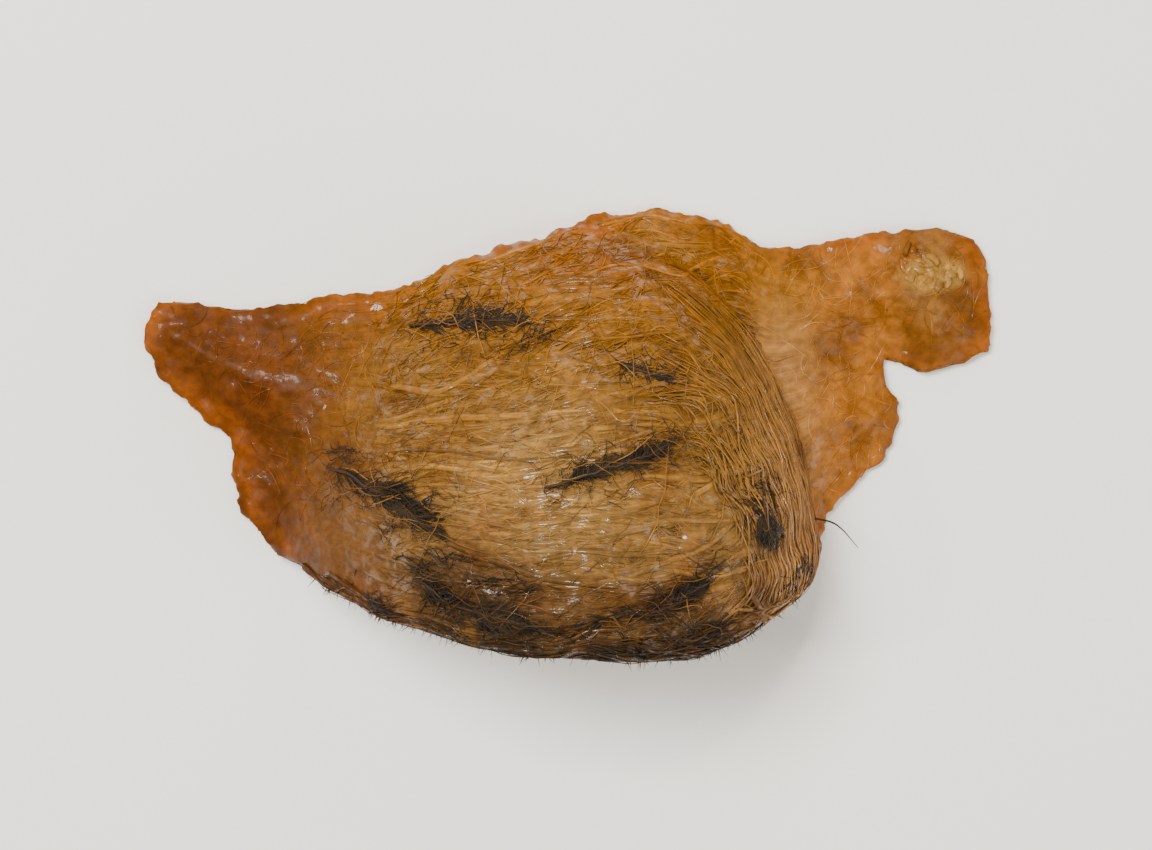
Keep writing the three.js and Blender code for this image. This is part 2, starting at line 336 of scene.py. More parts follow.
def fibre_relief(along, across):
    """Heights at strand coordinates. Each size of ridge has its own length, width and slant."""
    bundles = value_noise(along / 17, across / 3.1 + 0.05 * along, 1)
    cords = folded(value_noise(along / 11, across / 1.25 - 0.06 * along, 2))
    threads = folded(value_noise(along / 6, across / 0.8 + 0.09 * along, 3))
    gaps = smooth_between(value_noise(along / 5, across / 1.7, 4), 0.62, 0.8)
    return (0.4 * (bundles - 0.5) + 0.26 * (cords - 0.5) + 0.18 * (threads - 0.5) - 0.2 * gaps) * MM


fibres = fibre_relief(along, across)
print("fibres from", round(fibres.min() / MM, 2), "to", round(fibres.max() / MM, 2), "mm")

# %% [markdown]
# On the two feet the strands have melted into gum, with soft lumps in place of ridges. On the steep
# right flank the rows give way as well, because the strands there turn and go round the cup. Both
# places are told by plan position, as shares from 0 to 1 that the relief, the finish and the strands
# can use. Painted vertex groups would do it too, but they would be lost with each new mesh.

# %% Gum and flank
GUM_LEFT = (-31 * MM, -17 * MM)
GUM_RIGHT = (23 * MM, 31 * MM)
FLANK = (18 * MM, 23 * MM)
PLAN_SHIFT = 90


def plan_mm(points):
    return points[..., 0] / MM + PLAN_SHIFT, points[..., 1] / MM + PLAN_SHIFT


def lump_relief(points):
    x, y = plan_mm(points)
    lumps = value_noise(x / 3.2, y / 3.2, 5) - 0.5
    grains = value_noise(x / 1.1 + 0.3 * y, y / 1.1, 6) - 0.5
    return (0.55 * lumps + 0.26 * grains) * MM


def gum_share(points):
    """0 on the dome to 1 on the two feet and by the base on the right, where the strands have melted."""
    x, y = points[..., 0], points[..., 1]
    right = smooth_between(x + 0.35 * np.maximum(y, 0), *GUM_RIGHT)
    return np.maximum(1 - smooth_between(x, *GUM_LEFT), right)


def off_dome(points):
    """0 on the dome to 1 on the gummy feet and on the steep right flank, where the rows give way."""
    return np.maximum(gum_share(points), smooth_between(points[..., 0], *FLANK))


def dome_relief(along, across, points):
    """Fibres on the dome, that fade on the flank and into soft lumps on the feet."""
    fibres = fibre_relief(along, across) * (1 - 0.75 * off_dome(points))
    return fibres + lump_relief(points) * (0.3 + 0.7 * gum_share(points))


relief = dome_relief(along, across, skin_points)
relief = relief * (1 - wall_cut) * smooth_between(skin_points[:, 2], 0, 1.6 * MM)
print("relief from", round(relief.min() / MM, 2), "to", round(relief.max() / MM, 2), "mm")

# %% [markdown]
# The rim of the feet and the base is thin and torn. Crumbs in three sizes push it in and out, level
# with the table, so that its outline is ragged. The skin then takes its new shape, and what the finish
# has to know later is stored with its points: the strand coordinates and the masks of the hollow, the
# wall cut, the gum and the thin rim.

# %% Torn rim, and the skin takes its shape
# depth and size in millimetres, and a seed
CRUMBS = [(1.1, 3.1, 7), (0.4, 1.4, 9), (0.5, 0.7, 8)]
rim = skin_points[(skin_normals[:, 2] ** 2 < 0.5) & (skin_points[:, 2] < 1.5 * MM) & (hollow < 0.1)]
rim_index = search_tree(rim * (1, 1, 0))


def thin_edge(points):
    """1 at the thin rim of the feet and the base, 0 a few millimetres inside it."""
    gaps = np.array([rim_index.find((x, y, 0))[2] for x, y, _ in points])
    low_down = 1 - smooth_between(points[:, 2], 3 * MM, 6 * MM)
    return (1 - smooth_between(gaps, 0.1 * MM, 3.2 * MM)) * low_down


level = skin_normals * (1, 1, 0)
facing_out = np.linalg.norm(level, axis=1) * (1 - hollow)
is_rim = smooth_between(facing_out, 0.5, 0.9) * (1 - smooth_between(skin_points[:, 2], 2 * MM, 4 * MM))
x, y = plan_mm(skin_points)
crumbs = sum(depth * (value_noise(x / size, y / size, seed) - 0.5) for depth, size, seed in CRUMBS)
skin_points += skin_normals * relief[:, None] + level * (is_rim * crumbs * MM)[:, None]
skin_points[:, 2] = np.maximum(skin_points[:, 2], 0)
skin.data.vertices.foreach_set("co", skin_points.astype(np.float32).ravel())


def store(mesh, name, values):
    kind, field = ("FLOAT_VECTOR", "vector") if values.ndim == 2 else ("FLOAT", "value")
    attribute = mesh.attributes.new(name, kind, "POINT")
    attribute.data.foreach_set(field, values.astype(np.float32).ravel())


store(skin.data, "flow", np.stack([along, across, np.full(len(along), 0.5)], axis=1))
store(skin.data, "hollow", hollow)
store(skin.data, "wall_cut", wall_cut)
store(skin.data, "gum", gum_share(skin_points) * (1 - hollow))
store(skin.data, "thin", thin_edge(skin_points) * (1 - hollow))
skin.data.polygons.foreach_set("use_smooth", [True] * len(skin.data.polygons))
skin.data.update()
print("rim points:", len(rim), "and crumbs up to", round(float(np.abs(crumbs * is_rim).max()), 2), "mm")

# %% [markdown]
# Saliva dries to a clear amber gum. Its colour changes over the nest: deep orange on the left foot,
# golden on the dome, tan towards the lip, and nearly black-brown where the hollow is lined with down.
# Both the skin and the strands need that, so it is a node group that they share. It starts from a
# ramp between lip and base and mixes in the two feet by their place, with a dark matted patch near the
# lip and a pale crust on the right foot. Some light is painted in as well: a painted highlight on the
# top of the dome, a right flank painted lighter where the light from the right is weak, and a painted
# glow of light through the thin rim. Noise adds patches of darker and redder gum. A painted picture
# would fit one view only; places and noise hold from all sides.

# %% Node helpers and the amber colour group
def new_group(name, takes, gives):
    group = bpy.data.node_groups.new(name, "ShaderNodeTree")
    for title, kind, value in takes:
        socket = group.interface.new_socket(title, in_out="INPUT", socket_type="NodeSocket" + kind)
        socket.default_value = value
    for title, kind in gives:
        group.interface.new_socket(title, in_out="OUTPUT", socket_type="NodeSocket" + kind)
    return group, group.nodes.new("NodeGroupInput").outputs, group.nodes.new("NodeGroupOutput").inputs


def tint(red, green, blue):
    """A colour as seen on screen, 0 to 255, as the linear values that shaders use."""
    shares = [value / 255 for value in (red, green, blue)]
    linear = [share / 12.92 if share < 0.04045 else ((share + 0.055) / 1.055) ** 2.4 for share in shares]
    return (*linear, 1)


def between(tree, value, low, high, start=0.0, end=1.0):
    """A smooth step of a value from start to end."""
    inputs = {0: value, 1: low, 2: high, 3: start, 4: end}
    return add(tree, "MapRange", inputs, interpolation_type="SMOOTHSTEP").outputs["Result"]


def mix(tree, share, first, second):
    """A mix of two colours, which are inputs 6 and 7 and output 2 of the Mix node."""
    return add(tree, "Mix", {0: share, 6: first, 7: second}, data_type="RGBA").outputs[2]


def distance(tree, point, centre):
    return add(tree, "VectorMath", {0: point, 1: centre}, operation="DISTANCE").outputs["Value"]


def ramp(tree, value, stops):
    made = add(tree, "ValToRGB", {"Fac": value})
    elements = made.color_ramp.elements
    elements[0].position, elements[0].color = stops[0]
    elements[1].position, elements[1].color = stops[-1]
    for place, colour in stops[1:-1]:
        elements.new(place).color = colour
    return made.outputs["Color"]


amber, takes, gives = new_group(
    "amber_colour",
    [("Tone", "Float", 0.5), ("Streak", "Float", 0.5), ("Thin", "Float", 0.0), ("Hollow", "Float", 0.0),
     ("Cut", "Float", 0.0)],
    [("Colour", "Color")],
)
place = add(amber, "TexCoord").outputs["Object"]
xyz = add(amber, "SeparateXYZ", {0: place}).outputs
drift = add(amber, "TexNoise", {"Vector": place, "Scale": 160.0, "Detail": 3.0}).outputs["Fac"]
wide = add(amber, "TexNoise", {"Vector": place, "Scale": 75.0, "Detail": 2.0}).outputs["Fac"]
lip_to_base = add(amber, "MapRange", {0: xyz["Y"], 1: -22.2 * MM, 2: 22.2 * MM}).outputs["Result"]
colour = ramp(amber, lip_to_base, [
    (0.0, tint(44, 30, 15)), (0.1, tint(84, 57, 26)), (0.26, tint(110, 79, 38)), (0.42, tint(118, 83, 34)),
    (0.65, tint(114, 76, 24)), (0.8, tint(124, 78, 13)), (1.0, tint(124, 73, 9))])
squeezed = add(amber, "VectorMath", {0: place, 1: (1.0, 2.0, 0.0)}, operation="MULTIPLY").outputs[0]
from_painted_highlight = distance(amber, place, (-5 * MM, -4 * MM, 26 * MM))
from_mat = distance(amber, squeezed, (-11 * MM, -30 * MM, 0))
from_crust = distance(amber, squeezed, (38.6 * MM, 30.6 * MM, 0))
from_crust = calc(amber, "MULTIPLY_ADD", drift, -4 * MM, from_crust)
right_of = between(amber, xyz["X"], 13 * MM, 24 * MM)
flank = calc(amber, "MULTIPLY", right_of, between(amber, xyz["Y"], 15 * MM, 6 * MM))
# where the rim is thin, a painted glow as if light shone through the gum
painted_rim_glow = calc(amber, "MULTIPLY", takes["Thin"], between(amber, wide, 0.35, 0.62))


def wash(colour, mask, low, high, most, over):
    """A colour with another over it, more and more as a mask goes from low to high."""
    return mix(amber, between(amber, mask, low, high, 0.0, most), colour, tint(*over))


# redder patches, a painted highlight on the top of the dome and the dark mat near the lip
colour = wash(colour, wide, 0.5, 0.72, 0.5, (112, 60, 12))
colour = wash(colour, from_painted_highlight, 12 * MM, 4 * MM, 0.5, (136, 104, 58))
colour = wash(colour, from_mat, 11 * MM, 5 * MM, 0.7, (76, 53, 30))
# the right flank: its own brown, painted lighter where the light from the right is weak;
# then the right foot, its lobe and the crust on it
colour = mix(amber, flank, colour, tint(142, 99, 51))
colour = wash(colour, xyz["X"], 22 * MM, 30 * MM, 1.0, (139, 84, 23))
colour = wash(colour, xyz["X"], 32 * MM, 37 * MM, 1.0, (106, 63, 19))
colour = wash(colour, from_crust, 2.4 * MM, 0.6 * MM, 0.7, (142, 106, 48))
# lighter and darker drifts, the left foot, and a painted glow of light through the thin rim
colour = wash(colour, drift, 0.52, 0.75, 0.5, (146, 104, 48))
colour = wash(colour, drift, 0.46, 0.3, 0.45, (74, 40, 10))
colour = wash(colour, xyz["X"], -14 * MM, -34 * MM, 0.9, (82, 39, 7))
colour = wash(colour, painted_rim_glow, 0.0, 1.0, 0.65, (134, 68, 7))
# what only the masks know, and then the light and dark of streaks, flecks and single strands
colour = mix(amber, takes["Cut"], colour, tint(126, 86, 40))
colour = mix(amber, takes["Hollow"], colour, tint(54, 36, 14))
flecks = add(amber, "TexNoise", {"Vector": place, "Scale": 1150.0, "Detail": 3.0}).outputs["Fac"]
shade = between(amber, takes["Streak"], 0.25, 0.75, 0.7, 1.22)
shade = calc(amber, "MULTIPLY", shade, between(amber, flecks, 0.3, 0.7, 0.84, 1.18))
shade = calc(amber, "MULTIPLY", shade, between(amber, takes["Tone"], 0.0, 1.0, 0.5, 1.5))
bright = add(amber, "VectorMath", {0: colour, "Scale": shade}, operation="SCALE")
amber.links.new(bright.outputs[0], gives["Colour"])
print("amber colour group:", len(amber.nodes), "nodes")

# %% [markdown]
# Under a lens each strand is itself a bundle of finer fibres. A second group gives that grain: noise
# stretched along the strand coordinates, as a streak for the colour, the bump and the roughness. On
# the gummy feet soft lumps take its place. Spots of clear gloss are in the group as well, and the
# fineness is set by each material.

# %% Fibre grain group
grain, takes, gives = new_group(
    "fibre_grain", [("Fineness", "Float", 1.0)],
    [("Streak", "Float"), ("Roughness", "Float"), ("Coat", "Float"), ("Tone", "Float")])
flow = add(grain, "Attribute", attribute_name="flow").outputs["Vector"]
flow_parts = add(grain, "SeparateXYZ", {0: flow}).outputs
stretched = add(grain, "VectorMath", {0: flow, 1: (0.16, 2.0, 31.0)}, operation="MULTIPLY").outputs[0]
fine = add(grain, "TexNoise", {"Vector": stretched, "Scale": takes["Fineness"], "Detail": 4.0,
                               "Roughness": 0.62}).outputs["Fac"]
spot = add(grain, "TexCoord").outputs["Object"]
lumps = add(grain, "TexNoise", {"Vector": spot, "Scale": 420.0, "Detail": 3.0}).outputs["Fac"]
gummy = add(grain, "Attribute", attribute_name="gum").outputs["Fac"]
fading = between(grain, gummy, 0.0, 1.0, 0.0, 0.85)
streak = add(grain, "Mix", {0: fading, 2: fine, 3: lumps}, data_type="FLOAT").outputs[0]
grain.links.new(streak, gives["Streak"])
grain.links.new(between(grain, streak, 0.3, 0.7, 0.36, 0.6), gives["Roughness"])
glint = add(grain, "TexNoise", {"Vector": spot, "Scale": 900.0, "Detail": 2.0}).outputs["Fac"]
gloss = between(grain, gummy, 0.0, 0.8, 0.6, 0.14)
grain.links.new(calc(grain, "MULTIPLY", between(grain, glint, 0.48, 0.62), gloss), gives["Coat"])
grain.links.new(flow_parts["Z"], gives["Tone"])


def placed(tree, group, inputs):
    return add(tree, "Group", inputs, node_tree=group).outputs


def saliva(name, fineness, bump, depth, glow):
    """Dried saliva: amber colour, fibre grain, a thin clear gloss and light that sinks in."""
    material, tree = new_material(name)
    fibre = placed(tree, grain, {"Fineness": fineness})
    inputs = {"Tone": fibre["Tone"], "Streak": fibre["Streak"]}
    for socket, mask in (("Thin", "thin"), ("Hollow", "hollow"), ("Cut", "wall_cut")):
        inputs[socket] = add(tree, "Attribute", attribute_name=mask).outputs["Fac"]
    colour = placed(tree, amber, inputs)
    relief = add(tree, "Bump", {"Strength": bump, "Distance": depth, "Height": fibre["Streak"]})
    gum = add(tree, "BsdfPrincipled", {
        "Base Color": colour["Colour"], "Roughness": fibre["Roughness"], "Normal": relief.outputs["Normal"],
        "IOR": 1.48, "Specular IOR Level": 0.08, "Coat Weight": fibre["Coat"], "Coat Roughness": 0.12,
        "Subsurface Weight": glow, "Subsurface Radius": (1.0, 0.55, 0.18), "Subsurface Scale": 1.3 * MM})
    tree.links.new(gum.outputs["BSDF"], add(tree, "OutputMaterial").inputs["Surface"])
    return material


saliva_skin = saliva("saliva_skin", 1.0, 0.6, 0.3 * MM, 0.25)
saliva_strand = saliva("saliva_strand", 1.6, 0.35, 0.12 * MM, 0.0)
skin.data.materials.clear()
skin.data.materials.append(saliva_skin)
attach(skin, "root")
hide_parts("nest_cup")
print("materials:", [material.name for material in bpy.data.materials])

# %% [markdown]
# Strands are tubes along a path, and there are thousands, so they are made as whole arrays. Each
# path has a surface normal at every point; across it the tube is wide and along it thin, as a strand
# that dried on others is a flat ribbon. Hair curves would be lighter, but the part has to be plain
# mesh. The ends taper, and all strands of a kind are joined in one piece.

# %% Tubes from arrays of paths
SIDE_STEP = 0.35
TONE_SHIFT = 37


def tubes(paths, normals, half_width, half_height, sides):
    """Points and quads of closed tubes. Paths and normals are strands x points x 3."""
    ahead = unit(np.gradient(paths, axis=1))
    across = unit(np.cross(normals, ahead))
    lift = np.cross(ahead, across)
    turns = 2 * math.pi * (np.arange(sides) + 0.5) / sides
    ring = (across[:, :, None] * np.cos(turns)[:, None] * half_width[:, :, None, None]
            + lift[:, :, None] * np.sin(turns)[:, None] * half_height[:, :, None, None])
    points = paths[:, :, None] + ring
    index = np.arange(points.size // 3).reshape(points.shape[:3])
    near, far = index[:, :-1], index[:, 1:]
    walls = np.stack([near, np.roll(near, -1, 2), np.roll(far, -1, 2), far], axis=-1).reshape(-1, 4)
    halves = [[0, 1, 2, 3]] if sides == 4 else [[0, 1, 2, 3], [0, 3, 4, 5]]
    ends = [cap for half in halves for cap in (index[:, 0][:, half[::-1]], index[:, -1][:, half])]
    return points.reshape(-1, 3), np.concatenate([walls, *ends])


def strand_piece(name, points, quads, material, slot, flow, hollow=None):
    mesh = bpy.data.meshes.new(name)
    mesh.from_pydata(points.tolist(), [], quads.tolist())
    mesh.polygons.foreach_set("use_smooth", [True] * len(mesh.polygons))
    mesh.materials.append(material)
    store(mesh, "flow", flow)
    if hollow is not None:
        store(mesh, "hollow", np.full(len(points), hollow))
    mesh.update()
    piece = bpy.data.objects.new(name, mesh)
    bpy.context.scene.collection.objects.link(piece)
    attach(piece, "root")
    print(name, "has", 2 * len(quads), "triangles")
    return piece


def strand_flow(paths, tones, sides):
    """Strand coordinates for every point of the tubes: length, way round, and a tone of its own."""
    lengths = np.cumsum(np.linalg.norm(np.diff(paths, axis=1, prepend=paths[:, :1]), axis=2), axis=1) / MM
    shape = (*lengths.shape, sides)
    round_it = np.broadcast_to(np.arange(sides) * SIDE_STEP, shape)
    along = np.broadcast_to(lengths[:, :, None] + TONE_SHIFT * tones[:, None, None], shape)
    tone = np.broadcast_to(tones[:, None, None], shape)
    return np.stack([along, round_it, tone], axis=-1).reshape(-1, 3)


def joined_strands(name, paths, normals, half, flatness, tones, material, slot, hollow=None, sides=4):
    mesh = tubes(paths, normals, half, flatness * half, sides)
    strand_piece(name, *mesh, material, slot, strand_flow(paths, tones, sides), hollow)


straight = np.linspace((0, 0, 0), (10 * MM, 0, 0), 5)[None]
sample = tubes(straight, np.broadcast_to(UP, straight.shape), np.full((1, 5), MM), np.full((1, 5), MM), 4)
print("a four-sided tube over 5 points has", len(sample[1]), "quads")

# %% [markdown]
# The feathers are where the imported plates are. Each plate's own points give its line, from one end
# to the other, and its width. The strands need to know these lines too, because some of them were
# laid over a feather and hold it down.

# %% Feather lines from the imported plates
def feather_line(node):
    points = mesh_points(node.data)
    middle = points.mean(0)
    axes = np.linalg.svd(points - middle, full_matrices=False)[2]
    ahead = axes[0] * (1 if axes[0][0] > 0 else -1)
    reach = (points - middle) @ ahead
    width = float(np.ptp((points - middle) @ axes[1]))
    return middle + reach.min() * ahead, middle + reach.max() * ahead, width


feathers = {name: feather_line(node) for name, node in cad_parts.items() if name.startswith("feather")}
outer_feathers = {name: line for name, line in feathers.items() if "hollow" not in name}
for name, (quill, tip, width) in feathers.items():
    print(name, round(float(np.linalg.norm(tip - quill)) / MM, 1), "mm long,", round(width / MM, 1), "wide")


def over_feather(points):
    """0 to 1, how far each point lies over one of the outer feathers."""
    cover = np.zeros(points.shape[:-1])
    for quill, tip, width in outer_feathers.values():
        share = np.clip((points - quill) @ (tip - quill) / ((tip - quill) @ (tip - quill)), 0, 1)
        gap = np.linalg.norm(points - quill - share[..., None] * (tip - quill), axis=-1)
        cover = np.maximum(cover, 1 - smooth_between(gap, 0.3 * width, 0.5 * width + 1.2 * MM))
    return cover

# %% [markdown]
# The dome is covered in layers. First come cords, a third of a millimetre to almost one wide, that
# follow the rows over a good part of the cup. Then come threads, not much thicker than a hair, that are
# shorter and lean more, so that they cross the cords. Shorter ones lean more still, and very short ones
# in all directions felt the rest together. A strand is a line in row coordinates with a lean and a slow
# wander; its height follows the fibre relief below it. Few reach the gummy feet and the right flank.

# %% Strands over the dome
FARTHEST_OFF = 0.75 * MM
LOWEST = 0.9 * MM
OVER_FEATHER = 0.85 * MM


def on_rows(grid, t, s):
    column = np.clip(t, 0, 1) * (STEPS - 1)
    line = np.clip(s, 0, 1) * (ROWS - 1)
    j = np.minimum(column.astype(int), STEPS - 2)
    i = np.minimum(line.astype(int), ROWS - 2)
    a, b = (column - j)[..., None], (line - i)[..., None]
    near = grid[i, j] * (1 - a) + grid[i, j + 1] * a
    far = grid[i + 1, j] * (1 - a) + grid[i + 1, j + 1] * a
    return near * (1 - b) + far * b


def row_spread(rng, count, length):
    """Centres, row shares and reaches for strands all over the dome, with few off it."""
    tries = 3 * count
    reach = rng.uniform(*length, tries) * MM / ROW_LENGTH
    centre = rng.random(tries) * (0.99 - reach) + 0.005 + reach / 2
    home = rng.uniform(-0.01, 1.01, tries)
    kept = np.flatnonzero(rng.random(tries) > 0.85 * off_dome(on_rows(rows, centre, home)))[:count]
    return centre[kept], home[kept], reach[kept]


def lay_on_rows(rng, centre, home, reach, points, lean, wander, width, lift, over_share, dive=0.55):
    """Strands along the rows, in millimetres. They dive into the skin where the rows give way."""
    centre, home, reach = centre[:, None], home[:, None], reach[:, None]
    count = len(centre)
    q = np.linspace(0, 1, points)[None]
    t = centre + reach * (q - 0.5)
    sway = rng.normal(0, wander, (count, 2, 1)) * MM / ROW_SPREAD
    pace = rng.uniform(3, 8, (count, 2, 1))
    phase = rng.uniform(0, 6.3, (count, 2, 1))
    s = home + rng.normal(0, lean, (count, 1)) * (q - 0.5) * reach * ROW_LENGTH / ROW_SPREAD
    s = s + (sway * np.sin(pace * q[:, None] + phase)).sum(1)
    path, normal = on_rows(rows, t, s), unit(on_rows(dome_normals, t, s))
    height = dome_relief(t * ROW_LENGTH / MM, s * ROW_SPREAD / MM, path)
    height = (np.roll(height, 1, 1) + 2 * height + np.roll(height, -1, 1)) / 4
    taper = np.sin(math.pi * np.clip(q, 0.02, 0.98)) ** 0.45
    height = height + rng.uniform(*lift, (count, 1)) * MM * (1.3 * taper - 0.3)
    height = height - dive * MM * off_dome(path)
    over = OVER_FEATHER * over_feather(path) * (rng.random((count, 1)) < over_share)
    path = path + normal * height[..., None]
    off = np.array([max(skin_tree.find_nearest(point)[3] for point in line) for line in path])
    kept = (off < FARTHEST_OFF) & (path[..., 2].min(1) > LOWEST)
    path = (path + normal * over[..., None])[kept]
    half = (rng.uniform(*width, (count, 1)) * MM / 2 * taper)[kept]
    return path, normal[kept], half


def dome_strands(name, seed, count, length, flatness, pale_and_sheen_share, sides=4, **shape):
    rng = np.random.default_rng(seed)
    laid = lay_on_rows(rng, *row_spread(rng, count, length), **shape)
    made = len(laid[0])
    # some strands are lighter: partly pale fibres, partly painted sheen and glints along them
    tones = np.clip(rng.normal(0.47, 0.15, made) + 0.4 * (rng.random(made) < pale_and_sheen_share), 0.05, 1)
    joined_strands(name, *laid, flatness, tones, saliva_strand, "saliva", sides=sides)


dome_strands("dome_cords", 11, 330, (16, 60), 0.28, 0.05, points=22, lean=0.08, wander=0.8,
             width=(0.3, 0.9), lift=(-0.14, 0.05), over_share=0.0, sides=6)
dome_strands("dome_threads", 12, 1320, (6, 26), 0.5, 0.1, points=13, lean=0.14, wander=0.4,
             width=(0.1, 0.24), lift=(-0.07, 0.08), over_share=0.03)
dome_strands("top_threads", 13, 1000, (2.5, 10), 0.8, 0.2, points=10, lean=0.45, wander=0.4,
             width=(0.06, 0.14), lift=(0.0, 0.16), over_share=0.3)
dome_strands("felt_threads", 14, 560, (1.2, 4), 0.8, 0.4, points=8, lean=1.4, wander=0.3,
             width=(0.06, 0.14), lift=(0.04, 0.2), over_share=0.25)

# %% [markdown]
# The feathers are nearly black, with browner patches, and the shaft and a few barbs are lighter. A
# single dark colour would look like ink in the gum, so noise varies it from patch to patch, and each
# strand's own tone lifts some of them.

# %% Feather finish
vane, tree = new_material("feather_vane")
where = add(tree, "TexCoord").outputs["Object"]
patch = add(tree, "TexNoise", {"Vector": where, "Scale": 420.0, "Detail": 3.0}).outputs["Fac"]
own = add(tree, "Attribute", attribute_name="flow").outputs["Vector"]
own = add(tree, "SeparateXYZ", {0: own}).outputs["Z"]
dark = mix(tree, between(tree, patch, 0.42, 0.68), tint(20, 16, 9), tint(48, 35, 18))
dark = mix(tree, between(tree, own, 0.7, 1.0), dark, tint(92, 60, 26))
barbs = add(tree, "BsdfPrincipled", {"Base Color": dark, "Specular IOR Level": 0.2,
                                     "Roughness": between(tree, patch, 0.3, 0.7, 0.5, 0.72)})
tree.links.new(barbs.outputs["BSDF"], add(tree, "OutputMaterial").inputs["Surface"])
print("feather finish:", len(tree.nodes), "nodes")

# %% [markdown]
# A feather here is small and matted: a thin shaft with barbs on both sides that stick together in
# clumps and lie flat in the gum, with loose fuzz round them. A leaf-shaped card with a mask would do in
# a game, but its edge is too clean, so each barb is a thin tube of its own. The barbs are laid out flat
# first, in plan, along a shaft that bows a little. Then every point is dropped onto the skin by a ray,
# from above for the outside of the cup and from below for its hollow. Neighbours share their slant
# through a slow noise, and this is what parts the vane into clumps. Three feathers lie deeper than the
# rest, with strands over them.

# %% Feathers
dressed_tree = BVHTree.FromObject(skin, bpy.context.evaluated_depsgraph_get())


def drape(plan, outside, gap):
    """Points over plan positions, a gap off the skin, with the normals there."""
    start, ray = (RAY_HEIGHT, -UP) if outside else (-MM, UP)
    points, normals = np.empty((len(plan), 3)), np.empty((len(plan), 3))
    for index, (x, y) in enumerate(plan):
        points[index], normals[index] = land(dressed_tree, Vector((x, y, start)), ray, Vector((x, y, MM)))
    return points + normals * np.broadcast_to(gap, len(plan))[:, None], normals


SUNK = {"feather_back_right": 0.6 * MM, "feather_back_left": 0.52 * MM, "feather_right_flank": 0.16 * MM}


def make_feather(name, quill, tip, width, seed, barb_count=95, barb_points=6, fuzz_count=135):
    rng = np.random.default_rng(seed)
    sunk = SUNK.get(name, 0)
    outside = name in outer_feathers
    start, line = quill[:2], (tip - quill)[:2]
    length = np.linalg.norm(line)
    ahead = line / length
    aside = np.array([-ahead[1], ahead[0]])
    bow = rng.normal(0, 0.05) * length

    def shaft_plan(q):
        return start + q[:, None] * line + (bow * np.sin(math.pi * q))[:, None] * aside

    q = np.linspace(0, 1, 14)
    shaft, shaft_normals = drape(shaft_plan(q), outside, 0.8 * MM - sunk)
    shaft_half = (0.15 * (1 - q) + 0.04)[None] * MM
    root = np.tile(np.linspace(0.05, 0.97, barb_count), 2)
    hand = np.repeat([1.0, -1.0], barb_count)
    clump = value_noise(root * 11, 40 * hand, seed)
    slant = np.radians(20 + 36 * clump + rng.normal(0, 10, len(root)))
    fullness = np.sin(math.pi * (0.1 + 0.87 * root)) ** 0.6
    reach = 0.5 * width * fullness / np.sin(slant + 0.2) * (0.45 + 0.8 * clump)
    reach = reach * rng.uniform(0.5, 1.4, len(root))
    r = np.linspace(0, 1, barb_points)
    bend = (slant[:, None] - rng.normal(0.5, 0.3, (len(root), 1)) * r ** 1.5)[..., None]
    heading = np.cos(bend) * ahead + np.sin(bend) * hand[:, None, None] * aside
    plan = shaft_plan(root)[:, None] + (reach[:, None] * r)[..., None] * heading
    turn = rng.uniform(0, 2 * math.pi, (fuzz_count, 1)) + rng.normal(0, 0.9, (fuzz_count, 1)) * r
    fuzz_reach = rng.uniform(0.8, 2.8, (fuzz_count, 1)) * MM * r
    fuzz_root = shaft_plan(rng.random(fuzz_count)) + rng.normal(0, 0.3 * width, (fuzz_count, 1)) * aside
    fuzz = fuzz_root[:, None] + fuzz_reach[..., None] * np.stack([np.cos(turn), np.sin(turn)], axis=-1)
    plan = np.concatenate([plan, fuzz])
    gap = (0.75 - 0.25 * r + rng.normal(0, 0.09, (len(plan), 1)) * r) * MM - sunk
    paths, normals = drape(plan.reshape(-1, 2), outside, gap.ravel())
    paths, normals = paths.reshape(*plan.shape[:2], 3), normals.reshape(*plan.shape[:2], 3)
    barb_half, fuzz_half = rng.uniform(0.05, 0.11, 2 * barb_count), rng.uniform(0.03, 0.06, fuzz_count)
    half = np.concatenate([barb_half, fuzz_half])[:, None] * MM * (1.05 - r ** 2)
    parts = [tubes(shaft[None], shaft_normals[None], shaft_half, shaft_half, 4),
             tubes(paths, normals, half, 0.6 * half, 4)]
    flow = np.concatenate([strand_flow(shaft[None], np.array([0.8]), 4),
                           strand_flow(paths, rng.random(len(plan)) * 0.85, 4)])
    points = np.concatenate([parts[0][0], parts[1][0]])
    quads = np.concatenate([parts[0][1], parts[1][1] + len(parts[0][0])])
    piece = strand_piece(name.replace("feather", "plume"), points, quads, vane, "feather", flow)
    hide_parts(name)


for seed, (name, (quill, tip, width)) in enumerate(feathers.items()):
    make_feather(name, quill, tip, width, seed + 50)

# %% [markdown]
# Besides whole feathers, loose wisps of dark down lie between the strands, most of them near the
# feathers and the lip. They are laid as strands are, in small bunches that share a centre.

# %% Wisps of down on the dome
def row_place(x, y):
    """Row coordinates of the dome point over a plan position, given in millimetres."""
    index = row_index.find(dome_point(x * MM, y * MM))[1]
    return (index % STEPS) / (STEPS - 1), (index // STEPS) / (ROWS - 1)


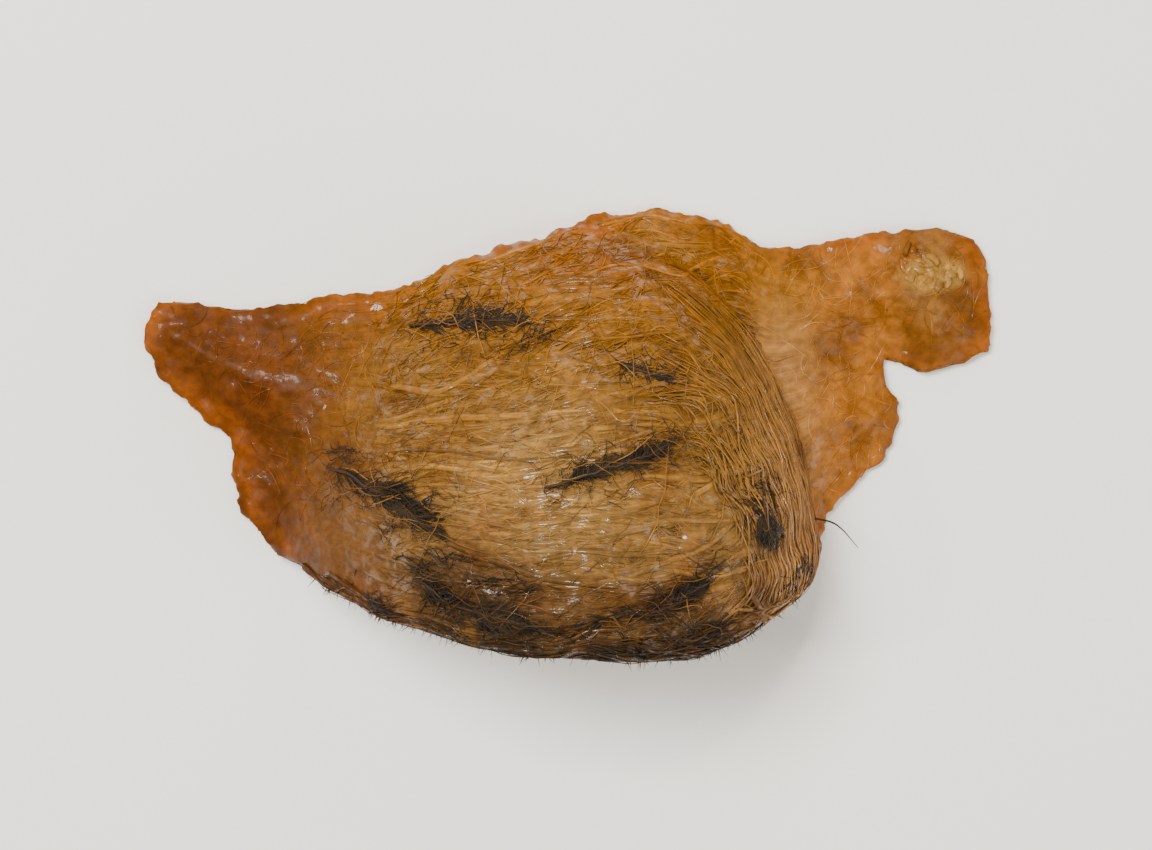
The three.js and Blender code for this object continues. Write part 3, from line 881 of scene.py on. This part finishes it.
DOWN_SPOTS = [(-10, 11), (-4, 10), (-18, -6.5), (-24, -3), (-10, -17), (-15, -15), (-5, -18.3), (0, -19),
              (8, -16), (12, -13), (19, -6.5), (20, -10.5), (-6, -14), (3, -17), (-14, -12), (-17, -13),
              (-11, -14), (-20, -6), (-16, -8)]
rng = np.random.default_rng(31)
spots = [row_place(*spot) for spot in DOWN_SPOTS]
spots = spots + list(zip(rng.uniform(0.3, 0.72, 12), rng.uniform(0.0, 0.1, 12)))
bunch = np.repeat(np.array(spots), 14, axis=0)
centre = bunch[:, 0] + rng.normal(0, 1.3, len(bunch)) * MM / ROW_LENGTH
home = bunch[:, 1] + rng.normal(0, 0.5, len(bunch)) * MM / ROW_SPREAD
reach = rng.uniform(1.2, 5.0, len(bunch)) * MM / ROW_LENGTH
laid = lay_on_rows(rng, centre, home, reach, points=8, lean=0.35, wander=0.25, width=(0.07, 0.16),
                   lift=(0.25, 0.65), over_share=0.5, dive=0)
joined_strands("dome_down", *laid, 0.8, rng.random(len(laid[0])) * 0.9, vane, "feather")

# %% [markdown]
# On the feet the gum has run together, but single threads still show in it, in all directions, and a
# pale crust of dried saliva sits on the lobe of the right foot. Both are short bent lines in plan that
# are dropped onto the skin. A line that would leave the foot or cross a step is thrown away.

# %% Threads on the feet
STRAY = 1.2 * MM
HIGHEST_STEP = 0.8 * MM


def loose_lines(rng, count, spots, spread, length, points, gap):
    """Draped paths round plan spots in millimetres, each with its own direction and bend."""
    paths, normals = [], []
    while len(paths) < count:
        middle = (spots[rng.integers(len(spots))] + rng.normal(0, spread, 2)) * MM
        turn = rng.uniform(0, 2 * math.pi) + rng.normal(0, 0.7) * np.linspace(-1, 1, points)
        steps = np.stack([np.cos(turn), np.sin(turn)], axis=1) * rng.uniform(*length) * MM / points
        plan = middle + np.cumsum(steps, axis=0) - steps.sum(0) / 2
        path, normal = drape(plan, True, rng.uniform(*gap) * MM)
        strayed = np.linalg.norm(path[:, :2] - plan, axis=1).max() > STRAY
        if not strayed and np.abs(np.diff(path[:, 2])).max() < HIGHEST_STEP:
            paths.append(path)
            normals.append(normal)
    return np.array(paths), np.array(normals)


def foot_piece(name, seed, count, spots, spread, length, width, gap, tone, points=9):
    rng = np.random.default_rng(seed)
    path, normal = loose_lines(rng, count, np.array(spots), spread, length, points, gap)
    taper = np.sin(math.pi * np.linspace(0.05, 0.95, points)) ** 0.5
    half = rng.uniform(*width, (count, 1)) * MM / 2 * taper
    joined_strands(name, path, normal, half, 0.6, rng.uniform(*tone, count), saliva_strand, "saliva")


LEFT_FOOT = [(-38, 8), (-32, 6), (-27, 2), (-30, -4), (-24, -7), (-26, 8), (-20, 3), (-16, 6), (-18, -1),
             (-22, 0)]
RIGHT_FOOT = [(30, 14), (36, 15), (41, 14), (30, 4), (32, -1), (28, -5), (26, 10), (23, 15), (26, 16)]
foot_piece("foot_threads", 71, 560, LEFT_FOOT + RIGHT_FOOT, 2.6, (1.5, 6.5), (0.08, 0.2), (-0.02, 0.05),
           (0.4, 0.95))
CRUST = [(36.5, 17), (37.2, 15.8), (38.4, 15), (39.6, 14.8), (40.6, 15.4)]
foot_piece("lobe_crust", 72, 90, CRUST, 0.5, (0.9, 2.2), (0.5, 1.2), (-0.12, 0.1), (0.4, 0.75))

# %% [markdown]
# On the steep right flank the outermost strands turn: they no longer run to the foot but go round the
# cup, each at about the same height. Rays from above would slip down so steep a wall, so these threads
# are found with level rays, from outside towards the middle of the cup, on the skin before its relief.

# %% Threads round the right flank
CUP_MIDDLE = Vector((0.6 * MM, -17.5 * MM, 0))
CUP_RADIUS = 28
RAY_REACH = 60 * MM
LONGEST_STEP = 3 * MM
FLANK_END = 30 * MM


def flank_threads(name, seed, count, points, length, width, gap):
    rng = np.random.default_rng(seed)
    q = np.linspace(-0.5, 0.5, points)[None]
    reach = rng.uniform(*length, (count, 1)) * q
    turn = np.clip(np.radians(rng.uniform(0, 68, (count, 1))) + reach / CUP_RADIUS, 0, 1.3)
    z = rng.uniform(5, 25, (count, 1)) + rng.normal(0, 0.12, (count, 1)) * reach
    z = z + rng.normal(0, 0.25, (count, 1)) * np.sin(6 * q + rng.uniform(0, 6.3, (count, 1)))
    path, normal = np.empty((*turn.shape, 3)), np.empty((*turn.shape, 3))
    for index in np.ndindex(turn.shape):
        outward = Vector((math.cos(turn[index]), math.sin(turn[index]), 0))
        start = CUP_MIDDLE + RAY_REACH * outward + Vector((0, 0, z[index] * MM))
        hit = skin_tree.ray_cast(start, -outward, RAY_REACH)
        path[index], normal[index] = hit[:2] if hit[0] else (start, outward)
    steps = np.linalg.norm(np.diff(path, axis=1), axis=2)
    kept = (steps.max(1) < LONGEST_STEP) & (path[..., 0].max(1) < FLANK_END)
    path, normal = path[kept], normal[kept]
    path = path + normal * (rng.uniform(*gap, (len(path), 1)) * MM * np.cos(2.6 * q))[..., None]
    half = rng.uniform(*width, (len(path), 1)) * MM / 2 * np.cos(math.pi * 0.96 * q) ** 0.5
    tones = np.clip(rng.normal(0.5, 0.13, len(path)), 0.05, 1)
    joined_strands(name, path, normal, half, 0.5, tones, saliva_strand, "saliva")


flank_threads("flank_threads", 73, 700, 14, (5, 17), (0.1, 0.34), (0.1, 0.4))

# %% [markdown]
# The lip is the broken-looking front edge of the cup. Its face is about as wide as the wall is thick
# and is built of cords that run along it, with bristles of torn strands and down all the way. The face
# is found on the skin by its normals, and the cords are laid on it with rays from the front.

# %% Cords along the lip
LIP_ENDS = (-28 * MM, 24.5 * MM)
LIP_LIMITS = (-28.5 * MM, 24.8 * MM)
FACE_SPAN = (-29 * MM, 25 * MM)
FACE_WINDOW = 1.2 * MM
NUDGE = 0.002 * MM
lip_here = np.interp(skin_points[:, 0], places, lip_edge)
on_face = (skin_normals[:, 1] < -0.5) & (skin_points[:, 1] < lip_here + 3 * MM)
face = skin_points[on_face & (skin_points[:, 2] > 2 * MM)]
face_places = np.linspace(*FACE_SPAN, 60)
face_heights = [face[np.abs(face[:, 0] - x) < FACE_WINDOW, 2] for x in face_places]
face_low = np.array([heights.min() for heights in face_heights])
face_high = np.array([heights.max() for heights in face_heights])


def lay_on_face(x, share, gap):
    """Points and normals on the lip's face, at a share of the way from its inner to its outer edge."""
    z = np.interp(x, face_places, face_low) * (1 - share) + np.interp(x, face_places, face_high) * share
    points, normals = np.empty((*x.shape, 3)), np.empty((*x.shape, 3))
    for index in np.ndindex(x.shape):
        front, near = (Vector((x[index], y * MM, z[index])) for y in (-60, -20))
        points[index], normals[index] = land(dressed_tree, front, Vector((0, 1, 0)), near)
    return points + normals * gap[..., None], normals


def lip_strands(name, seed, count, points, length, width, gap):
    rng = np.random.default_rng(seed)
    q = np.linspace(0, 1, points)[None]
    reach = rng.uniform(*length, (count, 1)) * MM
    x = rng.uniform(*LIP_ENDS, (count, 1)) + reach * (q - 0.5)
    x = np.clip(x, *LIP_LIMITS) + NUDGE * q
    share = rng.uniform(0.02, 1.0, (count, 1)) + rng.normal(0, 0.08, (count, 1)) * np.sin(5 * q)
    taper = np.sin(math.pi * np.clip(q, 0.03, 0.97)) ** 0.5
    path, normal = lay_on_face(x, np.clip(share, 0, 1), rng.uniform(*gap, (count, 1)) * MM * taper)
    path = (path + np.roll(path, 1, 1) + np.roll(path, -1, 1))[:, 1:-1] / 3
    normal, half = normal[:, 1:-1], rng.uniform(*width, (count, 1)) * MM / 2 * taper[:, 1:-1]
    joined_strands(name, path, normal, half, 0.6, rng.uniform(0.1, 0.6, count), saliva_strand, "saliva")


lip_strands("lip_cords", 41, 120, 18, (8, 30), (0.35, 0.9), (0.0, 0.35))
lip_strands("lip_threads", 42, 320, 12, (4, 14), (0.12, 0.26), (0.2, 0.6))

# %% [markdown]
# Torn strand ends and down stand out of the lip's face. Each is a short tapered tube with its root in
# the wall. It leaves along the face's normal, spread at random, and curls to one side.

# %% Bristles of the lip
def bristles(name, seed, count, length, material, slot, low_share):
    rng = np.random.default_rng(seed)
    x = rng.uniform(*LIP_ENDS, (count, 1))
    share = rng.uniform(low_share, 1.0, (count, 1))
    root, normal = lay_on_face(x, share, np.full((count, 1), -0.2 * MM))
    root, normal = root[:, 0], normal[:, 0]
    lean = unit(normal + rng.normal(0, 0.55, (count, 3)) + (0, -0.25, 0.15))
    droop = unit(rng.normal(0, 1, (count, 3)))
    q = np.linspace(0, 1, 6)[None, :, None]
    reach = rng.uniform(*length, (count, 1, 1)) * MM
    path = root[:, None] + reach * (q * lean[:, None] + 0.35 * q ** 2 * droop[:, None])
    half = rng.uniform(0.05, 0.11, (count, 1)) * MM * (1.1 - q[..., 0])
    across = np.broadcast_to(unit(np.cross(lean, droop))[:, None], path.shape)
    joined_strands(name, path, across, half, 1.0, rng.uniform(0.05, 0.7, count), material, slot)


bristles("lip_bristles", 43, 320, (0.4, 1.5), saliva_strand, "saliva", 0.2)
bristles("lip_down", 44, 560, (0.4, 1.5), vane, "feather", 0.5)

# %% [markdown]
# One dark barb has come loose at the right end of the lip and curls out over the table. Five points
# make a short polyline, smoothed by cutting its corners twice, and a tapered tube follows it.

# %% A loose barb
def cut_corners(line):
    near, far = 0.75 * line[:-1] + 0.25 * line[1:], 0.25 * line[:-1] + 0.75 * line[1:]
    return np.concatenate([line[:1], np.stack([near, far], axis=1).reshape(-1, 3), line[-1:]])


curl = [(25.6, -10.4, 7.5), (27.6, -10.8, 7.2), (28.9, -11.9, 6.6), (29.3, -12.4, 6.2), (30.6, -13.9, 5.2)]
curl = cut_corners(cut_corners(np.array(curl) * MM))[None]
curl_half = np.linspace(0.16, 0.05, curl.shape[1])[None] * MM
curl_up = np.broadcast_to(UP, curl.shape)
joined_strands("loose_barb", curl, curl_up, curl_half, 1.0, np.array([0.2]), vane, "feather")

# %% [markdown]
# The hollow is lined with a coarse open net: thick cords that cross at all angles and bridge the
# dents, with dark down matted behind them. Each cord is a bent line over the plan of the hollow,
# lifted to its roof by rays from below; a line that would leave the hollow is thrown away.

# %% Net of the hollow
HOLLOW_WIDTH = (-24, 20)
HOLLOW_DEPTH = (-20, 8)
HOLLOW_INSET = 1.5 * MM
HOLLOW_STEP = 4 * MM


def hollow_cords(rng, count, points, length, wander, gap):
    """Paths and normals on the roof of the hollow, for lines that stay inside it."""
    paths, normals = [], []
    while len(paths) < count:
        middle = np.array([rng.uniform(*HOLLOW_WIDTH), rng.uniform(*HOLLOW_DEPTH)]) * MM
        turn = rng.uniform(0, math.pi)
        ahead = np.array([math.cos(turn), math.sin(turn)])
        q = np.linspace(-0.5, 0.5, points)[:, None]
        sway = wander * MM * np.sin(rng.uniform(3, 8) * q + rng.uniform(0, 6))
        plan = middle + q * rng.uniform(*length) * MM * ahead + sway * np.array([-ahead[1], ahead[0]])
        if (plan[:, 1] < np.interp(plan[:, 0], places, lip_edge) + HOLLOW_INSET).any():
            continue
        path, normal = drape(plan, False, rng.uniform(*gap) * MM)
        if path[:, 2].min() < HOLLOW_INSET or np.abs(np.diff(path[:, 2])).max() > HOLLOW_STEP:
            continue
        paths.append(path)
        normals.append(normal)
    paths, normals = np.array(paths), np.array(normals)
    for _ in range(4):
        paths[:, 1:-1] = (paths[:, :-2] + paths[:, 1:-1] + paths[:, 2:]) / 3
    return paths, unit(normals)


def net_piece(name, seed, count, points, length, wander, width, gap, material, slot, dark):
    rng = np.random.default_rng(seed)
    path, normal = hollow_cords(rng, count, points, length, wander, gap)
    taper = np.sin(math.pi * np.linspace(0.04, 0.96, points)) ** 0.4
    half = rng.uniform(*width, (count, 1)) * MM / 2 * taper
    joined_strands(name, path, normal, half, 0.65, rng.uniform(0.2, 0.8, count), material, slot, dark)


net_piece("hollow_net", 61, 260, 22, (9, 26), 1.2, (0.4, 1.0), (0.1, 0.7), saliva_strand, "saliva", 0.3)
net_piece("hollow_threads", 62, 440, 14, (5, 16), 0.9, (0.14, 0.32), (0.3, 1.0),
          saliva_strand, "saliva", 0.2)
net_piece("hollow_down", 63, 660, 8, (2, 7), 0.8, (0.08, 0.2), (0.1, 0.5), vane, "feather", 0.0)
